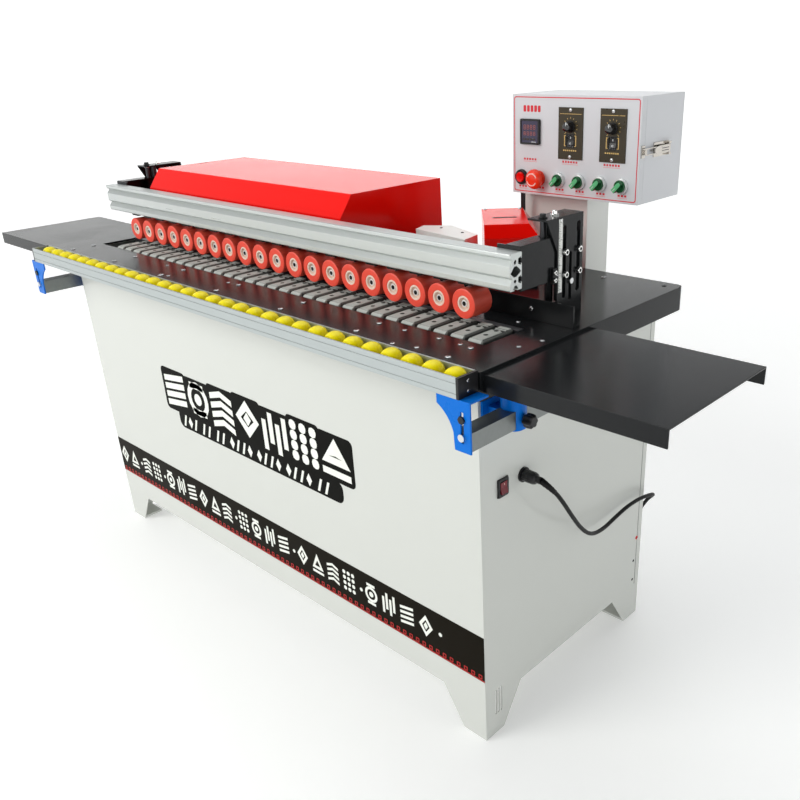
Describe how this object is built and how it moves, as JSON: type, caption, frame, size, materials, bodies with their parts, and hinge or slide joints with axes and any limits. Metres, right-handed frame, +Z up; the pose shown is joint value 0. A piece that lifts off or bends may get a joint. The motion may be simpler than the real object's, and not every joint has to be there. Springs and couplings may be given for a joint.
{
  "type": "edge banding machine",
  "caption": "Straight-line edge banding machine: steel cabinet and table, pad conveyor under a height-adjustable beam of pressure rollers, covered work units, folding front rail, control box",
  "frame": {"origin": "On the floor, under the middle of the bounding box without the mains lead.", "axes": "+X runs along the feed direction from the left leaf to the right leaf as seen by the operator, +Y points from the operator to the back of the machine, +Z is up."},
  "size_m": [2.073, 0.749, 1.108],
  "materials": {
    "cabinet_paint": "glossy off-white powder coat",
    "table_paint": "satin black enamel",
    "red_cover": "glossy red paint",
    "blue_bracket": "glossy blue paint",
    "anodised": "satin anodised extrusion",
    "steel": "zinc-plated steel",
    "dark_steel": "blackened steel",
    "red_roller": "coral red polyurethane tread",
    "yellow_wheel": "bright yellow moulding",
    "pad": "grey-green moulded pads",
    "box_paint": "pale grey powder coat",
    "black_plastic": "moulded black",
    "red_plastic": "moulded red",
    "green_plastic": "moulded green",
    "nickel": "nickel plated",
    "cord_rubber": "black sheath"
  },
  "bodies": {
    "machine": {"cabinet_shell": "cabinet_paint", "table_top": "table_paint", "extension_tables": "table_paint", "guide_fence": "table_paint", "lift_columns": "table_paint", "control_post": "cabinet_paint", "control_box": "box_paint", "power_inlet": "black_plastic", "arm_sleeves": "blue_bracket", "conveyor_drive": "dark_steel", "work_units": "dark_steel", "fasteners": "steel", "mains_cord": "cord_rubber", "cord_coil": "cord_rubber", "cord_plugs": "black_plastic"},
    "beam_unit": {"beam": "anodised", "beam_brackets": "table_paint"},
    "conveyor": {"conveyor_pads": "pad"},
    "rail_unit": {"front_rail": "anodised", "rail_wheels": "yellow_wheel", "rail_arms": "blue_bracket"},
    "lift_screw_left_body": {"lift_screw_left": "steel"},
    "lift_screw_right_body": {"lift_screw_right": "steel"},
    "star_knob_left_body": {"star_knob_left": "black_plastic"},
    "star_knob_right_body": {"star_knob_right": "black_plastic"},
    "main_hood_body": {"main_hood": "red_cover"},
    "small_hood_body": {"small_hood": "red_cover"},
    "control_door_body": {"control_door": "box_paint"},
    "speed_knob_left_body": {"speed_knob_left": "black_plastic"},
    "speed_knob_right_body": {"speed_knob_right": "black_plastic"},
    "speed_rocker_left_body": {"speed_rocker_left": "black_plastic"},
    "speed_rocker_right_body": {"speed_rocker_right": "black_plastic"},
    "stop_button_body": {"stop_button": "red_plastic"},
    "estop_button_body": {"estop_button": "red_plastic"},
    "selector_1_body": {"selector_1": "green_plastic"},
    "selector_2_body": {"selector_2": "green_plastic"},
    "selector_3_body": {"selector_3": "green_plastic"},
    "selector_4_body": {"selector_4": "green_plastic"},
    "door_latch_body": {"door_latch": "nickel"},
    "cabinet_switch_body": {"cabinet_switch": "red_plastic"},
    "roller_01_body": {"roller_01": "red_roller"},
    "roller_02_body": {"roller_02": "red_roller"},
    "roller_03_body": {"roller_03": "red_roller"},
    "roller_04_body": {"roller_04": "red_roller"},
    "roller_05_body": {"roller_05": "red_roller"},
    "roller_06_body": {"roller_06": "red_roller"},
    "roller_07_body": {"roller_07": "red_roller"},
    "roller_08_body": {"roller_08": "red_roller"},
    "roller_09_body": {"roller_09": "red_roller"},
    "roller_10_body": {"roller_10": "red_roller"},
    "roller_11_body": {"roller_11": "red_roller"},
    "roller_12_body": {"roller_12": "red_roller"},
    "roller_13_body": {"roller_13": "red_roller"},
    "roller_14_body": {"roller_14": "red_roller"},
    "roller_15_body": {"roller_15": "red_roller"},
    "roller_16_body": {"roller_16": "red_roller"},
    "roller_17_body": {"roller_17": "red_roller"},
    "roller_18_body": {"roller_18": "red_roller"},
    "roller_19_body": {"roller_19": "red_roller"},
    "roller_20_body": {"roller_20": "red_roller"}
  },
  "joints": [
    {"name": "beam_lift", "type": "slide", "parent": "machine", "child": "beam_unit", "axis": [0, 0, 1], "range_m": [-0.004, 0.026]},
    {"name": "main_hood_hinge", "type": "hinge", "parent": "machine", "child": "main_hood_body", "pos_m": [-0.1885, 0.181, 0.784], "axis": [-1, 0, 0], "range_deg": [0, 70]},
    {"name": "control_door_hinge", "type": "hinge", "parent": "machine", "child": "control_door_body", "pos_m": [0.341, 0.239, 1.013], "axis": [0, 0, -1], "range_deg": [0, 110]},
    {"name": "rail_slide", "type": "slide", "parent": "machine", "child": "rail_unit", "axis": [0, -1, 0], "range_m": [0, 0.15]},
    {"name": "conveyor_run", "type": "slide", "parent": "machine", "child": "conveyor", "axis": [-1, 0, 0], "range_m": [0, 0.039]},
    {"name": "small_hood_lift", "type": "slide", "parent": "machine", "child": "small_hood_body", "axis": [0, 0, 1], "range_m": [0, 0.035]},
    {"name": "door_latch_hinge", "type": "hinge", "parent": "machine", "child": "door_latch_body", "pos_m": [0.6505, 0.3175, 1.013], "axis": [0, 0, 1], "range_deg": [0, 60]},
    {"name": "star_knob_left_turn", "type": "hinge", "parent": "machine", "child": "star_knob_left_body", "pos_m": [-0.7305, -0.2505, 0.677], "axis": [1, 0, 0], "range_deg": [0, 540]},
    {"name": "star_knob_right_turn", "type": "hinge", "parent": "machine", "child": "star_knob_right_body", "pos_m": [0.7595, -0.2505, 0.677], "axis": [1, 0, 0], "range_deg": [0, 540]},
    {"name": "selector_1_turn", "type": "hinge", "parent": "control_door_body", "child": "selector_1_body", "pos_m": [0.4625, 0.219, 0.9505], "axis": [0, 1, 0], "range_deg": [0, 90]},
    {"name": "selector_2_turn", "type": "hinge", "parent": "control_door_body", "child": "selector_2_body", "pos_m": [0.5112, 0.219, 0.9505], "axis": [0, 1, 0], "range_deg": [0, 90]},
    {"name": "selector_3_turn", "type": "hinge", "parent": "control_door_body", "child": "selector_3_body", "pos_m": [0.5599, 0.219, 0.9505], "axis": [0, 1, 0], "range_deg": [0, 90]},
    {"name": "selector_4_turn", "type": "hinge", "parent": "control_door_body", "child": "selector_4_body", "pos_m": [0.6086, 0.219, 0.9505], "axis": [0, 1, 0], "range_deg": [0, 90]},
    {"name": "speed_knob_left_turn", "type": "hinge", "parent": "control_door_body", "child": "speed_knob_left_body", "pos_m": [0.49, 0.219, 1.052], "axis": [0, 1, 0], "range_deg": [-135, 135]},
    {"name": "speed_knob_right_turn", "type": "hinge", "parent": "control_door_body", "child": "speed_knob_right_body", "pos_m": [0.5865, 0.219, 1.052], "axis": [0, 1, 0], "range_deg": [-135, 135]},
    {"name": "speed_rocker_left_tilt", "type": "hinge", "parent": "control_door_body", "child": "speed_rocker_left_body", "pos_m": [0.49, 0.226, 1.026], "axis": [1, 0, 0], "range_deg": [0, 16]},
    {"name": "speed_rocker_right_tilt", "type": "hinge", "parent": "control_door_body", "child": "speed_rocker_right_body", "pos_m": [0.5865, 0.226, 1.026], "axis": [1, 0, 0], "range_deg": [0, 16]},
    {"name": "stop_button_press", "type": "slide", "parent": "control_door_body", "child": "stop_button_body", "axis": [0, 1, 0], "range_m": [0, 0.004], "stiffness_N_per_m": 400},
    {"name": "estop_button_press", "type": "slide", "parent": "control_door_body", "child": "estop_button_body", "axis": [0, 1, 0], "range_m": [0, 0.004]},
    {"name": "cabinet_switch_tilt", "type": "hinge", "parent": "machine", "child": "cabinet_switch_body", "pos_m": [0.6925, -0.229, 0.527], "axis": [0, 1, 0], "range_deg": [0, 12]},
    {"name": "lift_screw_left_turn", "type": "hinge", "parent": "machine", "child": "lift_screw_left_body", "pos_m": [-0.6375, -0.066, 0.94], "axis": [0, 0, 1], "range_deg": [-725, 4690]},
    {"name": "lift_screw_right_turn", "type": "hinge", "parent": "machine", "child": "lift_screw_right_body", "pos_m": [0.6465, -0.066, 0.94], "axis": [0, 0, 1], "range_deg": [-725, 4690]},
    {"name": "roller_01_spin", "type": "hinge", "parent": "beam_unit", "child": "roller_01_body", "pos_m": [-0.538, -0.152, 0.808], "axis": [0, 1, 0], "continuous": true},
    {"name": "roller_02_spin", "type": "hinge", "parent": "beam_unit", "child": "roller_02_body", "pos_m": [-0.48, -0.152, 0.808], "axis": [0, 1, 0], "continuous": true},
    {"name": "roller_03_spin", "type": "hinge", "parent": "beam_unit", "child": "roller_03_body", "pos_m": [-0.422, -0.152, 0.808], "axis": [0, 1, 0], "continuous": true},
    {"name": "roller_04_spin", "type": "hinge", "parent": "beam_unit", "child": "roller_04_body", "pos_m": [-0.364, -0.152, 0.808], "axis": [0, 1, 0], "continuous": true},
    {"name": "roller_05_spin", "type": "hinge", "parent": "beam_unit", "child": "roller_05_body", "pos_m": [-0.306, -0.152, 0.808], "axis": [0, 1, 0], "continuous": true},
    {"name": "roller_06_spin", "type": "hinge", "parent": "beam_unit", "child": "roller_06_body", "pos_m": [-0.248, -0.152, 0.808], "axis": [0, 1, 0], "continuous": true},
    {"name": "roller_07_spin", "type": "hinge", "parent": "beam_unit", "child": "roller_07_body", "pos_m": [-0.19, -0.152, 0.808], "axis": [0, 1, 0], "continuous": true},
    {"name": "roller_08_spin", "type": "hinge", "parent": "beam_unit", "child": "roller_08_body", "pos_m": [-0.132, -0.152, 0.808], "axis": [0, 1, 0], "continuous": true},
    {"name": "roller_09_spin", "type": "hinge", "parent": "beam_unit", "child": "roller_09_body", "pos_m": [-0.074, -0.152, 0.808], "axis": [0, 1, 0], "continuous": true},
    {"name": "roller_10_spin", "type": "hinge", "parent": "beam_unit", "child": "roller_10_body", "pos_m": [-0.016, -0.152, 0.808], "axis": [0, 1, 0], "continuous": true},
    {"name": "roller_11_spin", "type": "hinge", "parent": "beam_unit", "child": "roller_11_body", "pos_m": [0.042, -0.152, 0.808], "axis": [0, 1, 0], "continuous": true},
    {"name": "roller_12_spin", "type": "hinge", "parent": "beam_unit", "child": "roller_12_body", "pos_m": [0.1, -0.152, 0.808], "axis": [0, 1, 0], "continuous": true},
    {"name": "roller_13_spin", "type": "hinge", "parent": "beam_unit", "child": "roller_13_body", "pos_m": [0.158, -0.152, 0.808], "axis": [0, 1, 0], "continuous": true},
    {"name": "roller_14_spin", "type": "hinge", "parent": "beam_unit", "child": "roller_14_body", "pos_m": [0.216, -0.152, 0.808], "axis": [0, 1, 0], "continuous": true},
    {"name": "roller_15_spin", "type": "hinge", "parent": "beam_unit", "child": "roller_15_body", "pos_m": [0.274, -0.152, 0.808], "axis": [0, 1, 0], "continuous": true},
    {"name": "roller_16_spin", "type": "hinge", "parent": "beam_unit", "child": "roller_16_body", "pos_m": [0.332, -0.152, 0.808], "axis": [0, 1, 0], "continuous": true},
    {"name": "roller_17_spin", "type": "hinge", "parent": "beam_unit", "child": "roller_17_body", "pos_m": [0.39, -0.152, 0.808], "axis": [0, 1, 0], "continuous": true},
    {"name": "roller_18_spin", "type": "hinge", "parent": "beam_unit", "child": "roller_18_body", "pos_m": [0.448, -0.152, 0.808], "axis": [0, 1, 0], "continuous": true},
    {"name": "roller_19_spin", "type": "hinge", "parent": "beam_unit", "child": "roller_19_body", "pos_m": [0.506, -0.152, 0.808], "axis": [0, 1, 0], "continuous": true},
    {"name": "roller_20_spin", "type": "hinge", "parent": "beam_unit", "child": "roller_20_body", "pos_m": [0.564, -0.152, 0.808], "axis": [0, 1, 0], "continuous": true}
  ],
  "couplings": [
    {"joint": "lift_screw_left_turn", "follows": "beam_lift", "rad_per_m": 3141.6},
    {"joint": "lift_screw_right_turn", "follows": "beam_lift", "rad_per_m": 3141.6}
  ]
}
